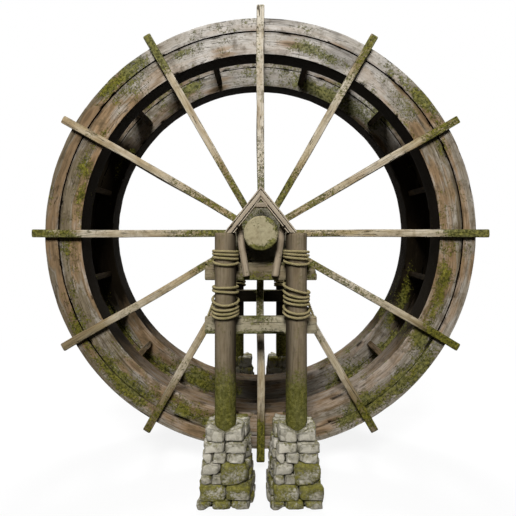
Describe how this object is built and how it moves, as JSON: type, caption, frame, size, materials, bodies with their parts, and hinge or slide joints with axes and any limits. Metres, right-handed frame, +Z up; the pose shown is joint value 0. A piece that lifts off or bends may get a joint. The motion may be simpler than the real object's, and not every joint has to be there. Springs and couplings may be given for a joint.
{
  "type": "water wheel",
  "caption": "Weathered timber water wheel with two spoked shrouds and radial floats, its axle log cradled in lashed log trestles with small gable roofs on rubble stone piers",
  "frame": {"origin": "on the ground, under the middle of the wheel", "axes": "+Z up, the axle along Y with the pictured front at -Y, +X to the right as pictured"},
  "size_m": [4.2, 2.673, 4.29],
  "materials": {
    "ring_wood": "weathered, mossy",
    "spoke_wood": "weathered",
    "hub_wood": "weathered, mossy",
    "axle_wood": "weathered, mossy at the arrises",
    "float_wood": "wet, dark",
    "beam_wood": "weathered, mossy edges",
    "post_wood": "weathered, mossy foot",
    "strut_wood": "weathered",
    "roof_wood": "weathered",
    "rope": "twisted natural fibre",
    "stone": "rough rubble, mossy"
  },
  "bodies": {
    "frame": {"front_upper_beam": "beam_wood", "front_lower_beam": "beam_wood", "front_collar_ties": "roof_wood", "front_left_pier": "stone", "front_left_post": "post_wood", "front_left_bearing_strut": "strut_wood", "front_left_rafters": "roof_wood", "front_left_roof_board": "roof_wood", "front_left_lashing": "rope", "front_right_pier": "stone", "front_right_post": "post_wood", "front_right_bearing_strut": "strut_wood", "front_right_rafters": "roof_wood", "front_right_roof_board": "roof_wood", "front_right_lashing": "rope", "back_upper_beam": "beam_wood", "back_lower_beam": "beam_wood", "back_collar_ties": "roof_wood", "back_left_pier": "stone", "back_left_post": "post_wood", "back_left_bearing_strut": "strut_wood", "back_left_rafters": "roof_wood", "back_left_roof_board": "roof_wood", "back_left_lashing": "rope", "back_right_pier": "stone", "back_right_post": "post_wood", "back_right_bearing_strut": "strut_wood", "back_right_rafters": "roof_wood", "back_right_roof_board": "roof_wood", "back_right_lashing": "rope"},
    "wheel": {"axle": "axle_wood", "floats": "float_wood", "front_felloes": "ring_wood", "front_rim_band": "ring_wood", "front_spokes": "spoke_wood", "front_hub": "hub_wood", "back_felloes": "ring_wood", "back_rim_band": "ring_wood", "back_spokes": "spoke_wood", "back_hub": "hub_wood"}
  },
  "joints": [
    {"name": "wheel_turn", "type": "hinge", "parent": "frame", "child": "wheel", "pos_m": [0, 0, 2.19], "axis": [0, 1, 0], "continuous": true}
  ]
}
